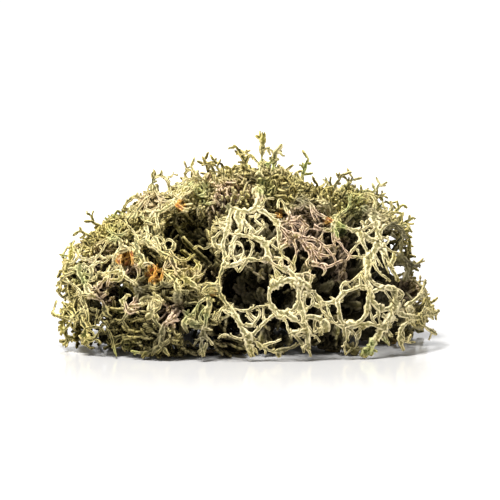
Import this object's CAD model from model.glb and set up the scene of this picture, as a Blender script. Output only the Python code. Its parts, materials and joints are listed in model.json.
# %% [markdown]
# # A clump of dried oakmoss lichen
#
# Oakmoss is a strap lichen. Each thallus, the body of the lichen, is a flat ribbon that forks in two
# again and again, and its last forks look like small antlers. The edges of a strap stand up as pale
# rims, and the hollow between them keeps its olive or grey-green colour. In this clump many thalli are
# tangled in a heap that stands on the ends of its own straps.
#
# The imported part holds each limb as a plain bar. The boughs' bars are read here, and real straps are
# grown along their middle lines, with all their forks and tips. The limbs of the open net at the front
# are laid again by hand, with the finer straps between them.

import heapq
import json
import math
import random

import bmesh
import bpy
import numpy as np
from mathutils import Matrix, Vector, noise
from mathutils.kdtree import KDTree

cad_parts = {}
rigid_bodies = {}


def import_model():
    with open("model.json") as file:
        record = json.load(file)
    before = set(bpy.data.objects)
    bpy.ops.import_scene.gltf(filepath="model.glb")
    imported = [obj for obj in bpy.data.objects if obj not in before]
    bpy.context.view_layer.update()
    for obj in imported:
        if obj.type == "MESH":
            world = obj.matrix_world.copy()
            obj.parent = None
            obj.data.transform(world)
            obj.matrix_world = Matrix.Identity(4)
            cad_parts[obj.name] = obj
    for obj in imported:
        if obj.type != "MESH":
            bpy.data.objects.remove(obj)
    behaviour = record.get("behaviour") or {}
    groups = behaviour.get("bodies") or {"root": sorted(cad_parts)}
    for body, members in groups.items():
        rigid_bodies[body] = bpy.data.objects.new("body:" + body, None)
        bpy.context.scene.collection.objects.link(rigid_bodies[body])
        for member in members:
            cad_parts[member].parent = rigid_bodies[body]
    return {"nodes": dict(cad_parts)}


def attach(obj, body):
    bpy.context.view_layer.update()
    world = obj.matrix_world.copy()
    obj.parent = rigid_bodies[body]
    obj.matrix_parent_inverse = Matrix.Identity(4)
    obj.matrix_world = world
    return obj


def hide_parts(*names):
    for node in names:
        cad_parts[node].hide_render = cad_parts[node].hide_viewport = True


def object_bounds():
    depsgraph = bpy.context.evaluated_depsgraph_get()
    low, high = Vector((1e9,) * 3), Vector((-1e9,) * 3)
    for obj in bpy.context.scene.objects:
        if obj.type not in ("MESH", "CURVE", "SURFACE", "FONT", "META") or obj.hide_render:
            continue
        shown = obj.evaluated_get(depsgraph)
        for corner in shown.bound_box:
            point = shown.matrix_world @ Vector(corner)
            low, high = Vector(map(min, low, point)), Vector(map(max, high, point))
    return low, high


for leftover in list(bpy.data.objects):
    bpy.data.objects.remove(leftover)
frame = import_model()
cad_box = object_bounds()
MM = 0.001
low_corner, high_corner = Vector(cad_box[0]) / MM, Vector(cad_box[1]) / MM
limb_names = sorted(frame["nodes"])
print("limbs:", len(limb_names), "box in mm:", [round(v, 1) for v in high_corner - low_corner])

# %% [markdown]
# ## Where the camera stands
#
# The clump is seen from the side of its open net, a little from above, with a long lens that keeps
# the near and far straps the same size. The camera is made first, because the front is what the
# straps of the net were laid out for.

# %% Camera
SIGHT_TILT = math.radians(6.0)      # the camera looks down by this much
CAMERA_DISTANCE = 0.80
PICTURE_WIDTH = 0.1563              # how much of the scene the picture takes in at the clump
AIM = Vector((1.3, 0.0, 29.0)) * MM


def add_camera():
    """A long-lens camera before the clump, aimed at its middle."""
    data = bpy.data.cameras.new("camera")
    data.sensor_width = 36.0
    data.lens = data.sensor_width * CAMERA_DISTANCE / PICTURE_WIDTH
    camera = bpy.data.objects.new("camera", data)
    bpy.context.scene.collection.objects.link(camera)
    away = Vector((0.0, -math.cos(SIGHT_TILT), math.sin(SIGHT_TILT)))
    camera.location = AIM + away * CAMERA_DISTANCE
    camera.rotation_euler = (math.pi / 2 - SIGHT_TILT, 0.0, 0.0)
    bpy.context.scene.camera = camera
    print("lens in mm:", round(data.lens, 1))


add_camera()

# %% [markdown]
# ## The middle line of a limb
#
# A packed limb is a mesh of loose triangles. Merged, it becomes a closed skin. If you walk over that
# skin from one end, the places at equal walking distance form rings round the limb. The middle of each
# ring lies on the limb's middle line, and each ring belongs to the nearest ring before it. That gives a
# tree of points: the limb's own skeleton, with no measuring by hand.

# %% Walk over the skin of a limb
RING_STEP = 2.2         # millimetres of walking between two rings
RING_FIT = 0.92         # a ring's farthest corner lies a little beyond the limb's half width


def merged_skin(name):
    """The limb's corners in millimetres and its triangles, from a merged copy of its mesh."""
    skin = bmesh.new()
    skin.from_mesh(frame["nodes"][name].data)
    bmesh.ops.remove_doubles(skin, verts=skin.verts[:], dist=1e-6)
    skin.verts.index_update()
    corners = np.array([vert.co[:] for vert in skin.verts]) / MM
    triangles = [[vert.index for vert in face.verts] for face in skin.faces]
    skin.free()
    return corners, triangles


def walking_distances(corners, triangles, start):
    """How far each corner is from the start, along the edges of the skin."""
    roads = [{} for _ in corners]
    for triangle in triangles:
        for a, b in zip(triangle, triangle[1:] + triangle[:1]):
            roads[a][b] = roads[b][a] = float(np.linalg.norm(corners[a] - corners[b]))
    distance = np.full(len(corners), np.inf)
    distance[start] = 0.0
    waiting = [(0.0, start)]
    while waiting:
        so_far, here = heapq.heappop(waiting)
        if so_far > distance[here]:
            continue
        for there, length in roads[here].items():
            if so_far + length < distance[there]:
                distance[there] = so_far + length
                heapq.heappush(waiting, (so_far + length, there))
    return distance


def rings_at(corners, triangles, distance, level):
    """The rings where the skin is crossed at one walking distance, each as an array of points."""
    crossings = {}
    links = {}
    for triangle in triangles:
        cut = []
        for a, b in zip(triangle, triangle[1:] + triangle[:1]):
            if (distance[a] - level) * (distance[b] - level) < 0:
                key = (min(a, b), max(a, b))
                share = (level - distance[a]) / (distance[b] - distance[a])
                crossings[key] = corners[a] + (corners[b] - corners[a]) * share
                cut.append(key)
        if len(cut) == 2:
            links.setdefault(cut[0], []).append(cut[1])
            links.setdefault(cut[1], []).append(cut[0])
    rings = []
    waiting = set(crossings)
    while waiting:
        front = [waiting.pop()]
        ring = list(front)
        while front:
            for key in links.get(front.pop(), ()):
                if key in waiting:
                    waiting.remove(key)
                    ring.append(key)
                    front.append(key)
        rings.append(np.array([crossings[key] for key in ring]))
    return rings


# %% One section of a strap
class Section:
    """One cross-section of a strap: its place, width, flat side and the sections that grow from it."""

    __slots__ = ("at", "width", "facing", "kids", "heading", "tip")

    def __init__(self, at, width, facing, heading):
        self.at = at
        self.width = width
        self.facing = facing
        self.heading = heading
        self.kids = []
        self.tip = 0.0


def limb_skeleton(name, start_near):
    """The limb's middle line as a tree of sections; the first is the one nearest to start_near."""
    corners, triangles = merged_skin(name)
    start = int(np.argmin(np.linalg.norm(corners - np.array(start_near), axis=1)))
    distance = walking_distances(corners, triangles, start)
    root = None
    last_sections = []
    level = RING_STEP * 0.5
    while level < distance.max():
        sections = []
        for ring in rings_at(corners, triangles, distance, level):
            middle = ring.mean(axis=0)
            spread = ring - middle
            far = spread[int(np.argmax(np.linalg.norm(spread, axis=1)))]
            width = 2 * float(np.linalg.norm(far)) * RING_FIT
            section = Section(Vector(middle), width, Vector((0, 0, 1)), Vector((0, 0, 1)))
            across = Vector(far)
            if last_sections:
                parent = min(last_sections, key=lambda other: (other.at - section.at).length)
                section.heading = (section.at - parent.at).normalized()
                parent.kids.append(section)
            section.facing = across.cross(section.heading)
            sections.append(section)
            if root is None:
                root = section
        if not sections:
            break
        last_sections = sections
        level += RING_STEP
    return root


# %% Finer and smoother skeletons
SECTION_STEP = 0.85         # millimetres from one section of a strap to the next
SMOOTHING_PASSES = 3


def all_sections(root):
    """Every section of a tree, parents before their kids."""
    found = [root]
    for section in found:
        found.extend(section.kids)
    return found


def refine(root):
    """Puts sections closer together along every stretch of the tree."""
    for section in all_sections(root):
        for place, kid in enumerate(list(section.kids)):
            stretch = kid.at - section.at
            count = max(1, round(stretch.length / SECTION_STEP))
            before = section
            for number in range(1, count):
                share = number / count
                middle = Section(
                    section.at + stretch * share,
                    section.width + (kid.width - section.width) * share,
                    section.facing.lerp(kid.facing, share),
                    stretch.normalized(),
                )
                if before is section:
                    section.kids[place] = middle
                else:
                    before.kids.append(middle)
                before = middle
            if before is not section:
                before.kids.append(kid)


def smooth(root):
    """Rounds the corners of the tree; its ends stay where they are."""
    for _ in range(SMOOTHING_PASSES):
        moved = []
        for section in all_sections(root):
            for kid in section.kids:
                if kid.kids:
                    after = sum((grandkid.at for grandkid in kid.kids), Vector()) / len(kid.kids)
                    moved.append((kid, kid.at * 0.5 + (section.at + after) * 0.25))
        for section, at in moved:
            section.at = at


def at_most_two_kids(root):
    """A strap forks in two: a third kid grows from the first one instead."""
    for section in all_sections(root):
        while len(section.kids) > 2:
            extra = section.kids.pop()
            section.kids[0].kids.append(extra)


# %% [markdown]
# ## The shape of the heap
#
# The heap has an outline against the light, a depth, and on its front some hollows where you look
# deep inside between the straps. New forks grow towards the outside, stay inside this shape and keep
# out of the hollows.

# %% Outline and hollows
SKYLINE = (
    (-61, 14), (-57, 28), (-52, 35), (-44, 39), (-37, 42), (-30, 49), (-20, 52), (-8, 56),
    (4, 59), (12, 55), (22, 51), (34, 50), (42, 47), (49, 41), (53, 31), (57, 19), (61, 11),
)
HALF_LENGTH = 60.0
HALF_DEPTH = 45.0
END_STARTS = 44.0           # beyond this place across, everything is near the outside
END_CLOSENESS, END_RISE = 0.55, 0.45    # closeness where the ends start, and how much it rises from there
CREST_PAST_ENDS = 8.0       # the crest's height past the skyline's ends
ROUNDNESS = 2.2             # of the heap's cross-section
PLAN_ROUNDNESS = 2.4        # of the heap as it lies on the floor
END_ROOM = 1.03             # the plan runs this much past the two ends
NEARLY_ONE = 0.995          # keeps the plan from closing to nothing
MIDDLE_PLANE = 0.77         # the heap's middle plane lies this far behind the origin
FRONT_FOOT_DEPTH = 38.0     # how far before the middle plane heights are read off the floor
THROUGH = 60                # a hollow this deep goes right through
NEAR_CREST = 0.99           # hollows above this share of the crest's height start at its depth
HEART = Vector((2.0, 2.8, 8.0))     # where the boughs start

# Each hollow: place across, height, radius, and how deep it goes in from the front, in millimetres.
HOLLOWS = (
    (-1.6, 21.4, 6.0, 18), (11.2, 18.6, 4.2, 16), (24.2, 23.0, 4.6, 16), (-18.5, 37.5, 6.6, 20),
    (-14.0, 31.5, 4.6, 18), (-36.6, 18.6, 3.2, 12), (-10.6, 26.2, 3.0, 14), (-1.6, 34.6, 2.6, 10),
    (42.8, 37.0, 3.0, 30), (-15.0, 6.0, 3.6, 12), (9.0, 7.4, 3.2, 12), (-4.0, 10.6, 2.4, 10),
    (31.0, 15.8, 3.8, 12), (27.6, 5.0, 2.8, 12), (4.4, 11.6, 2.2, 10), (22.0, 8.6, 2.2, 10),
    (41.4, 26.0, 2.2, 12), (10.0, 45.8, 2.2, 8), (-26.0, 14.6, 2.4, 10), (-45.3, 15.6, 2.4, 60),
    (45.2, 35.4, 2.6, 60), (47.6, 27.0, 2.8, 60), (-26.0, 52.4, 2.0, 60), (3.2, 60.6, 2.4, 60),
    (48.6, 32.0, 2.0, 60), (-52.5, 30.5, 1.6, 60),
)


def crest(x):
    """Height of the heap over the place x on its length."""
    for (x0, z0), (x1, z1) in zip(SKYLINE, SKYLINE[1:]):
        if x0 <= x <= x1:
            return z0 + (z1 - z0) * (x - x0) / (x1 - x0)
    return CREST_PAST_ENDS


def half_depth(x):
    """How far the heap reaches before and behind its middle plane at the place x."""
    along = min(abs(x) / (HALF_LENGTH * END_ROOM), NEARLY_ONE)
    return HALF_DEPTH * (1 - along ** PLAN_ROUNDNESS) ** (1 / PLAN_ROUNDNESS)


def fullness(point):
    """0 in the middle of the heap, 1 on its outside."""
    upwards = max(point.z, 0.0) / crest(point.x)
    sideways = abs(point.y - MIDDLE_PLANE) / half_depth(point.x)
    return (upwards ** ROUNDNESS + sideways ** ROUNDNESS) ** (1 / ROUNDNESS)


def closeness(point):
    """Fullness that also rises to 1 at the two far ends of the heap."""
    end = END_CLOSENESS + END_RISE * (abs(point.x) - END_STARTS) / (HALF_LENGTH - END_STARTS)
    return max(fullness(point), end)


def outward(point):
    """The direction straight out of the heap at a point."""
    here = fullness(point)
    axes = (Vector((1, 0, 0)), Vector((0, 1, 0)), Vector((0, 0, 1)))
    slope = Vector([fullness(point + axis) - here for axis in axes])
    if slope.length < 1e-6:
        return Vector((0, 0, 1))
    return slope.normalized()


def seen_height(point):
    """The height of a point as it looks from the camera's tilt."""
    before = point.y - MIDDLE_PLANE + FRONT_FOOT_DEPTH
    return point.z * math.cos(SIGHT_TILT) + before * math.sin(SIGHT_TILT)


def in_hollow(point):
    """Whether a point lies in one of the hollows of the front, or in a gap seen right through."""
    up = seen_height(point)
    share = min(point.z / crest(point.x), NEAR_CREST)
    surface = -half_depth(point.x) * (1 - share ** ROUNDNESS) ** (1 / ROUNDNESS)
    for across, height, radius, deep in HOLLOWS:
        if (point.x - across) ** 2 + (up - height) ** 2 < radius ** 2:
            if deep >= THROUGH or point.y < min(surface + deep, 0.0):
                return True
    return False


# %% Read every bough
trees = {}
for name in limb_names:
    if name.startswith("bough"):
        root = limb_skeleton(name, tuple(HEART))
        refine(root)
        smooth(root)
        at_most_two_kids(root)
        trees[name] = [root]


def section_count():
    """The number of sections in all trees."""
    return sum(len(all_sections(root)) for roots in trees.values() for root in roots)


print("sections read:", section_count())

# %% [markdown]
# ## The lace of the front
#
# The front of the clump is an open lace of bleached straps, with round holes where forks have grown
# together again. Every cell of this lace is its own shape, so each strap is laid by hand: its width,
# then the places it passes, across and up, as they look from the front. The straps follow the packed
# limbs and add their finer branches. Straps that meet share a place, so they join there.

# %% Routes of the lace, in millimetres
LACE = {
    "centre_post": (
        (1.5, (-5.8, 29.4), (-6.6, 28.0), (-7.9, 24.5), (-8.2, 22.2), (-7.6, 20.0), (-6.4, 17.8),
         (-5.0, 15.8)),
        (2.1, (-5.0, 15.8), (-3.4, 13.6), (-2.0, 11.2), (-0.7, 8.8), (0.5, 6.6), (1.3, 4.2), (2.1, 1.0)),
        (1.2, (-8.2, 22.2), (-10.2, 22.1), (-11.8, 21.5), (-12.8, 20.0)),
        (1.0, (-9.0, 22.0), (-11.4, 22.8), (-13.4, 22.2)),
        (1.0, (-5.0, 15.8), (-3.0, 15.2), (-0.8, 14.7), (1.0, 14.9), (2.4, 15.7), (4.4, 16.0), (7.3, 16.4)),
        (0.9, (-5.0, 15.8), (-7.2, 15.2), (-7.9, 13.4), (-8.8, 11.8), (-9.6, 12.4)),
        (0.8, (0.3, 7.0), (-2.2, 6.5), (-4.4, 7.3), (-6.6, 7.7), (-8.2, 6.4)),
        (1.0, (1.0, 6.8), (2.8, 6.0), (4.4, 4.0), (6.4, 4.8), (8.8, 5.4), (10.6, 6.2)),
        (1.4, (0.9, 7.0), (2.4, 7.9), (3.8, 9.4), (5.2, 10.8), (6.8, 12.2), (8.6, 13.6)),
        (1.1, (2.2, 9.8), (2.6, 11.2), (3.8, 12.6), (4.2, 14.2), (3.6, 15.8)),
        (0.8, (1.4, 4.0), (0.8, 2.4), (1.6, 0.9)),
        (0.8, (1.6, 4.0), (2.9, 3.2), (3.6, 1.6)),
    ),
    "ring_strap": (
        (1.6, (7.6, 21.6), (6.9, 19.6), (7.2, 17.4), (8.2, 15.4), (9.9, 14.1), (11.8, 13.8), (13.8, 14.7),
         (15.3, 16.4), (15.9, 18.4), (15.6, 20.6), (14.5, 22.6)),
        (2.2, (14.5, 22.6), (12.8, 23.8), (10.6, 23.2), (8.9, 22.6), (7.6, 21.6)),
        (0.9, (8.3, 22.4), (8.0, 24.0), (7.7, 25.2)),
        (0.8, (9.4, 23.0), (9.2, 25.0), (8.4, 27.4), (7.8, 28.8)),
        (1.7, (12.4, 13.6), (14.2, 12.5), (16.0, 11.1), (17.8, 10.0)),
        (1.1, (13.4, 13.4), (14.8, 13.8), (16.4, 14.0)),
        (1.5, (8.6, 14.6), (9.4, 13.0), (10.6, 12.8), (12.4, 13.0)),
    ),
    "arch_strap": (
        (1.4, (-6.4, 28.6), (-5.0, 28.0), (-3.4, 28.3), (-1.6, 29.0), (0.6, 29.8), (2.6, 29.8), (4.4, 29.6),
         (6.3, 30.0), (7.8, 28.9), (9.6, 27.8), (11.6, 26.9), (13.4, 25.8), (14.8, 24.6), (16.4, 23.0)),
        (0.8, (-3.2, 28.2), (-2.7, 27.2), (-2.1, 26.2)),
        (1.8, (6.3, 30.0), (6.6, 31.8), (6.2, 33.6), (5.4, 35.0), (4.2, 36.8)),
        (0.9, (5.4, 35.0), (7.2, 35.3), (9.2, 36.3)),
        (1.0, (0.6, 29.8), (1.5, 31.6), (2.0, 33.2), (2.2, 34.6), (1.1, 35.6), (0.9, 37.4), (1.7, 38.6),
         (1.1, 39.8), (0.1, 39.2), (0.0, 37.6)),
        (1.0, (13.4, 25.8), (14.4, 27.0), (14.3, 28.8), (14.8, 30.6), (15.2, 32.4), (14.8, 34.2),
         (14.2, 35.8)),
        (0.7, (11.4, 26.9), (11.0, 29.0), (10.9, 31.0), (10.3, 33.4)),
        (1.3, (14.4, 24.9), (16.2, 25.3), (17.8, 25.6), (19.4, 25.3), (20.6, 24.4)),
        (0.8, (18.8, 25.5), (19.3, 26.8)),
        (1.9, (14.6, 23.8), (16.4, 22.8), (18.0, 22.2), (19.4, 21.2)),
        (0.8, (19.4, 25.3), (19.4, 23.6), (18.6, 22.2)),
    ),
    "arch_leg": (
        (1.9, (16.4, 23.0), (15.9, 20.4), (15.9, 18.2), (16.3, 16.2), (16.7, 14.2), (17.2, 12.2),
         (17.8, 10.0)),
        (1.5, (17.8, 10.0), (18.2, 8.2), (18.3, 6.2), (18.3, 4.2), (18.9, 2.6), (19.4, 1.0)),
        (0.9, (18.2, 4.6), (17.2, 3.4), (17.3, 2.2)),
        (0.8, (17.8, 7.6), (16.2, 7.2), (14.8, 7.8), (13.4, 8.0), (13.6, 6.4)),
        (0.9, (13.4, 8.0), (12.6, 9.4), (12.2, 11.0), (11.4, 12.4)),
        (1.0, (18.4, 7.2), (20.0, 7.4), (21.2, 6.7), (22.2, 5.4)),
        (1.0, (17.8, 10.0), (19.2, 8.8), (20.4, 8.1), (22.2, 9.2), (23.4, 9.8)),
        (1.4, (17.4, 12.4), (18.6, 12.9), (20.4, 12.7), (22.4, 12.0), (24.2, 11.7), (26.2, 11.0)),
        (2.4, (22.8, 11.8), (23.6, 10.2), (24.0, 8.2)),
        (0.9, (22.9, 9.2), (22.4, 8.0), (21.7, 7.2)),
        (1.2, (16.2, 18.8), (17.6, 19.8), (19.2, 20.4), (20.6, 20.2)),
        (1.0, (17.6, 19.6), (17.3, 17.6), (17.9, 16.0), (19.2, 15.8), (20.0, 17.4), (19.6, 19.0),
         (18.4, 20.0)),
        (1.0, (16.7, 14.2), (17.9, 14.8), (18.6, 15.9)),
    ),
    "right_net": (
        (1.4, (20.2, 20.6), (20.9, 18.9), (22.2, 17.5), (23.9, 16.7), (25.6, 17.1), (27.2, 17.6),
         (28.4, 19.0),
         (29.6, 20.1), (31.2, 20.6), (33.0, 21.4), (34.8, 21.9), (37.0, 21.4)),
        (0.9, (28.7, 19.8), (28.6, 21.4), (29.3, 22.8), (30.6, 22.3), (31.6, 21.0)),
        (1.0, (29.3, 22.8), (31.4, 23.3), (33.0, 24.2), (34.6, 25.6), (36.2, 27.0)),
        (0.8, (27.2, 17.6), (26.2, 18.1), (25.1, 18.8)),
        (1.1, (27.8, 17.8), (29.1, 17.5)),
        (1.2, (24.2, 16.8), (24.6, 15.0), (25.1, 13.2), (26.2, 11.4), (27.6, 10.3), (29.6, 10.0)),
        (1.3, (27.2, 17.4), (27.8, 15.4), (28.0, 13.4), (28.5, 11.6), (29.6, 10.0)),
        (0.8, (22.0, 17.6), (22.4, 15.6), (23.2, 13.8), (24.2, 12.4)),
        (1.6, (29.6, 10.0), (31.2, 10.7), (33.2, 11.1), (34.8, 12.1), (35.8, 13.5), (36.4, 15.2),
         (36.7, 17.4),
         (37.0, 19.4), (37.0, 21.4)),
        (1.8, (31.2, 10.3), (34.0, 10.4), (36.6, 10.6), (39.0, 10.2)),
        (0.9, (29.4, 9.8), (29.4, 8.2), (29.3, 6.9)),
        (0.9, (30.4, 9.3), (32.0, 8.2), (33.0, 6.6), (33.4, 4.9), (33.0, 3.5), (34.9, 3.2), (37.0, 3.4)),
        (0.8, (30.6, 8.6), (30.3, 6.2), (29.4, 4.2), (29.9, 1.4)),
        (1.0, (20.4, 16.6), (21.8, 15.8), (23.4, 16.4)),
    ),
    "lower_trunk": (
        (1.9, (36.8, 30.0), (36.6, 27.6), (36.4, 25.4), (36.5, 23.2), (37.0, 21.4), (37.5, 19.2),
         (38.1, 17.2),
         (39.4, 15.8), (41.2, 15.2), (43.4, 15.0), (45.0, 15.4)),
        (1.3, (36.5, 25.6), (37.4, 24.0), (38.5, 22.8), (40.2, 21.9), (42.2, 21.4), (44.6, 21.1),
         (46.4, 20.5),
         (47.5, 19.3), (46.6, 17.9), (45.2, 17.4)),
        (0.8, (41.4, 21.4), (42.6, 19.4), (43.7, 17.8), (44.8, 16.2)),
        (0.8, (43.4, 21.2), (44.5, 19.2), (45.0, 17.4)),
        (0.8, (37.0, 16.2), (37.4, 13.8), (38.0, 12.0), (39.2, 10.4)),
        (0.9, (39.6, 15.7), (39.8, 13.4), (40.2, 11.4), (41.0, 9.8)),
        (0.8, (38.0, 12.2), (39.0, 13.0), (39.8, 13.4)),
        (0.8, (41.0, 13.4), (42.0, 12.6), (42.6, 11.6)),
        (1.4, (36.8, 27.4), (35.4, 26.6), (34.6, 25.6)),
        (0.9, (36.9, 21.4), (35.4, 21.0), (34.0, 21.6)),
    ),
    "thick_leg": (
        (2.1, (45.0, 21.0), (45.0, 19.0), (45.0, 17.0), (45.0, 15.4), (43.8, 13.1), (42.4, 11.0), (41.0, 9.2),
         (39.8, 7.2), (38.6, 5.2), (37.0, 3.4), (35.8, 2.2), (34.9, 0.6)),
        (1.2, (38.6, 5.2), (38.0, 3.0), (37.4, 1.0)),
        (0.9, (40.2, 7.6), (41.4, 6.1), (43.2, 4.1)),
        (2.1, (45.0, 15.4), (46.2, 14.0), (47.8, 13.0), (49.6, 12.5), (51.4, 12.3)),
        (1.2, (49.8, 12.3), (50.0, 11.0), (50.8, 9.8)),
        (1.4, (43.0, 12.0), (44.4, 12.0), (45.8, 11.6)),
        (1.5, (41.4, 9.8), (40.0, 9.8), (38.6, 10.2)),
        (0.9, (35.2, 1.2), (34.0, 1.8)),
        (0.9, (37.0, 3.2), (36.4, 1.6), (35.6, 0.8)),
    ),
    "upper_trunk": (
        (1.3, (34.8, 48.6), (35.8, 49.6), (37.2, 50.1), (38.8, 49.6), (39.6, 48.0), (39.4, 46.0),
         (39.0, 44.0)),
        (1.5, (35.6, 45.2), (37.4, 45.4), (39.0, 44.0)),
        (2.1, (39.0, 44.0), (39.3, 42.0), (39.5, 40.0), (39.9, 38.0), (40.2, 36.0), (39.6, 34.0),
         (38.4, 32.0),
         (36.8, 30.0)),
        (1.0, (39.0, 44.0), (41.0, 43.5), (42.8, 43.2), (44.4, 42.6)),
        (0.9, (39.4, 41.8), (41.6, 41.6), (43.6, 42.1)),
        (1.2, (40.2, 36.0), (40.8, 37.6), (41.4, 39.2), (42.6, 40.1), (44.0, 40.6)),
        (0.9, (40.3, 35.6), (42.0, 36.5), (43.4, 35.8), (42.8, 34.6), (41.0, 34.4)),
        (1.2, (40.2, 35.0), (42.6, 33.2), (44.6, 32.2), (46.2, 31.7), (46.7, 30.4)),
        (1.6, (40.4, 34.0), (41.8, 31.8), (43.0, 29.4), (44.1, 27.2), (45.3, 25.0), (46.3, 23.2)),
        (0.8, (38.8, 31.8), (40.0, 29.4), (41.3, 27.4)),
        (0.9, (37.6, 30.4), (38.8, 27.8), (40.4, 25.8), (42.0, 24.6), (43.6, 23.4)),
        (0.8, (41.4, 31.8), (41.6, 29.6), (42.4, 27.4), (43.2, 25.6)),
    ),
    "dark_strap": (
        (1.4, (43.0, 38.8), (43.8, 40.2), (45.4, 40.6), (47.0, 39.8), (48.3, 38.2), (48.2, 36.4),
         (47.3, 34.8),
         (47.2, 33.0), (47.6, 31.0), (48.9, 29.4), (50.6, 28.2), (52.2, 27.8), (53.6, 28.1)),
        (0.8, (48.3, 37.0), (49.9, 36.5)),
        (2.0, (45.6, 30.2), (47.2, 29.4), (48.7, 27.6), (48.9, 25.4), (47.8, 23.4)),
        (1.2, (50.4, 27.8), (50.2, 26.4), (49.6, 25.0)),
        (1.0, (44.2, 37.6), (45.9, 36.5)),
    ),
    "big_arm": (
        (1.5, (39.8, 35.0), (37.6, 35.8), (35.9, 37.0), (34.4, 38.2)),
        (2.0, (34.4, 38.2), (32.4, 38.7), (30.4, 39.4), (28.4, 40.1), (26.8, 40.8)),
        (1.4, (26.8, 40.8), (25.4, 41.8), (23.8, 42.7), (22.0, 43.7), (20.6, 44.9), (19.6, 46.4),
         (18.6, 47.6)),
        (1.0, (34.4, 38.2), (36.2, 39.5), (38.2, 40.4), (39.4, 41.0)),
        (0.8, (35.6, 37.4), (37.2, 37.9), (39.4, 39.4)),
        (1.1, (26.8, 40.8), (27.8, 42.8), (29.2, 43.9), (30.7, 45.1), (31.7, 46.6), (31.8, 48.4),
         (32.8, 50.4)),
        (0.8, (27.2, 41.4), (26.4, 42.4), (27.0, 43.2), (28.2, 43.0)),
        (1.1, (26.6, 40.6), (26.2, 38.4), (26.2, 36.2), (26.8, 33.8)),
        (1.0, (26.3, 36.4), (28.2, 35.0), (29.7, 32.8), (31.2, 31.0), (30.2, 29.6)),
        (1.0, (36.8, 30.2), (34.4, 30.5), (31.2, 30.8)),
        (0.9, (34.2, 35.2), (32.6, 33.4), (31.2, 31.2)),
        (1.4, (37.2, 31.6), (35.8, 33.8), (35.0, 36.0), (34.4, 38.2)),
        (1.0, (18.6, 47.6), (17.4, 46.0), (16.4, 44.6)),
        (0.9, (18.6, 47.6), (17.0, 48.4), (15.6, 48.2)),
        (0.8, (19.8, 46.4), (20.0, 43.8), (21.2, 41.4)),
    ),
    "upper_net": (
        (1.8, (-5.8, 46.2), (-4.6, 45.2), (-3.2, 44.6), (-1.4, 44.3), (0.4, 44.2), (1.9, 44.6), (3.2, 45.6)),
        (1.5, (-3.8, 44.8), (-4.8, 43.2), (-5.0, 41.4), (-5.2, 39.8), (-5.7, 38.0), (-6.4, 36.2),
         (-6.8, 34.4),
         (-6.6, 32.6), (-6.2, 31.0), (-5.8, 29.4)),
        (0.9, (-5.0, 41.6), (-6.6, 42.2), (-8.4, 41.4), (-10.2, 40.6)),
        (0.9, (-5.1, 40.9), (-7.2, 40.8), (-9.4, 40.4), (-10.2, 39.6), (-9.9, 38.2)),
        (1.1, (-5.6, 38.6), (-7.4, 38.2), (-8.9, 36.8), (-9.7, 35.4), (-9.0, 34.0), (-7.8, 33.7),
         (-6.8, 34.6)),
        (0.9, (-9.6, 35.0), (-11.0, 33.7), (-12.6, 33.1), (-14.2, 34.0), (-15.6, 33.0)),
        (0.8, (-6.8, 32.8), (-8.0, 32.4), (-9.2, 31.5)),
        (2.0, (-2.0, 44.3), (-2.4, 42.6), (-1.7, 41.2), (-1.5, 39.6), (-2.4, 38.0), (-3.3, 37.2)),
        (1.0, (-5.4, 38.4), (-3.6, 37.4), (-2.0, 37.2), (-0.6, 37.0), (0.8, 36.8)),
        (1.1, (-2.8, 37.0), (-3.7, 35.2), (-4.3, 33.2), (-4.8, 31.4), (-5.8, 29.4)),
        (0.9, (-3.4, 34.8), (-4.0, 32.4), (-3.5, 30.2), (-2.4, 29.0), (-1.1, 29.8), (-0.6, 31.4),
         (-0.8, 33.4),
         (-1.8, 34.8), (-3.4, 34.8)),
        (1.0, (3.6, 43.6), (2.8, 41.6)),
        (1.3, (3.2, 45.6), (4.8, 44.6), (6.4, 43.6), (7.9, 42.3), (9.6, 40.8)),
        (2.2, (3.2, 45.6), (3.9, 47.2), (4.3, 49.0), (4.4, 50.8), (3.4, 51.4), (2.6, 49.8), (3.2, 47.8)),
        (1.0, (4.6, 45.2), (5.2, 47.0), (6.6, 48.3), (8.6, 48.2)),
        (0.9, (5.6, 44.2), (7.4, 43.4), (9.2, 42.9), (11.0, 42.8)),
        (1.0, (9.8, 45.2), (9.8, 47.0), (10.6, 48.1), (11.5, 46.7), (12.0, 45.2), (12.8, 43.6)),
        (1.2, (0.2, 40.0), (-0.6, 41.6), (-0.4, 43.4)),
        (0.9, (3.0, 37.2), (4.4, 38.6), (5.6, 40.2), (4.8, 41.6)),
    ),
    "brown_fan": (
        (1.6, (12.8, 44.2), (13.4, 42.6), (12.6, 41.3), (11.2, 41.0), (9.6, 40.8), (8.4, 41.7)),
        (1.3, (9.6, 40.8), (9.7, 38.8), (10.1, 37.0), (9.8, 35.0), (10.4, 32.8)),
        (1.1, (9.8, 40.4), (11.4, 38.7), (12.8, 37.4), (14.2, 36.4)),
        (0.8, (10.6, 38.8), (12.2, 36.6), (13.2, 34.8), (12.4, 33.6)),
        (1.0, (13.6, 41.8), (15.2, 42.6), (16.8, 41.8), (17.9, 40.5), (19.0, 39.4)),
        (0.8, (13.4, 41.2), (15.0, 41.2), (16.6, 40.5), (18.0, 39.5)),
        (0.8, (13.0, 40.4), (15.0, 40.2), (16.8, 39.2), (18.4, 38.6)),
        (2.6, (13.6, 37.0), (15.0, 36.8), (16.6, 36.5)),
        (0.9, (16.4, 36.8), (17.8, 38.3), (18.9, 39.2)),
        (0.9, (15.8, 36.4), (17.4, 35.0), (19.4, 34.4), (21.6, 32.8)),
        (0.9, (16.6, 35.8), (17.9, 33.8), (19.3, 31.8), (19.0, 29.4)),
        (1.2, (16.8, 36.6), (19.0, 36.2), (20.6, 36.0), (22.4, 35.0), (24.4, 33.0)),
        (0.8, (19.6, 34.4), (21.0, 31.8), (22.6, 29.8)),
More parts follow.
